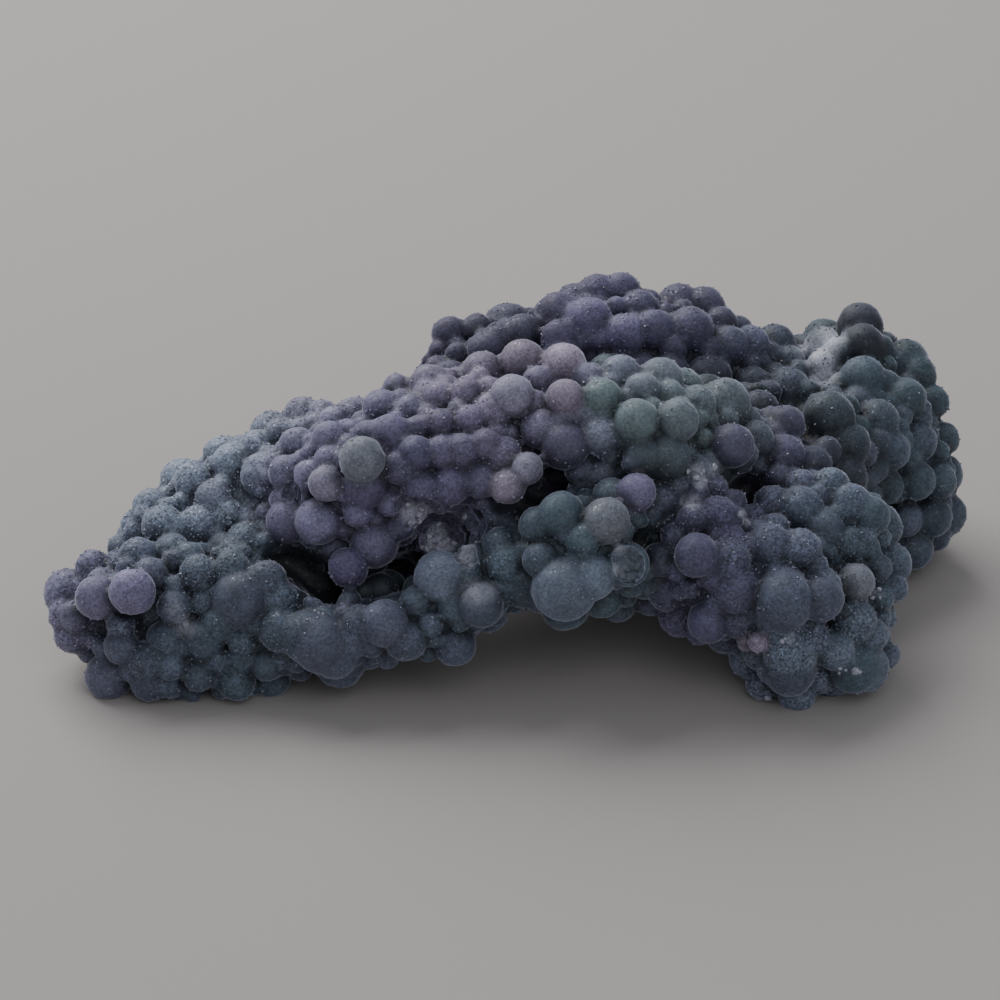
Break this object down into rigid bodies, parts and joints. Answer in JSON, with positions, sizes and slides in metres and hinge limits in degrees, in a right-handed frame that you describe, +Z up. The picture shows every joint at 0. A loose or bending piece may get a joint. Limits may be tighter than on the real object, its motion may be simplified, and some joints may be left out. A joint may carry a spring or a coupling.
{
  "type": "grape agate",
  "caption": "Lump of botryoidal chalcedony grown over with small round grapes, arching between low feet that it rests on.",
  "frame": {"origin": "middle of the stone's footprint, on the surface that it rests on", "axes": "+X to the right along the stone, +Y to its back, +Z up"},
  "size_m": [0.0624, 0.0332, 0.0199],
  "materials": {
    "chalcedony": "frosted"
  },
  "bodies": {
    "root": {"grape_agate": "chalcedony"}
  },
  "joints": []
}
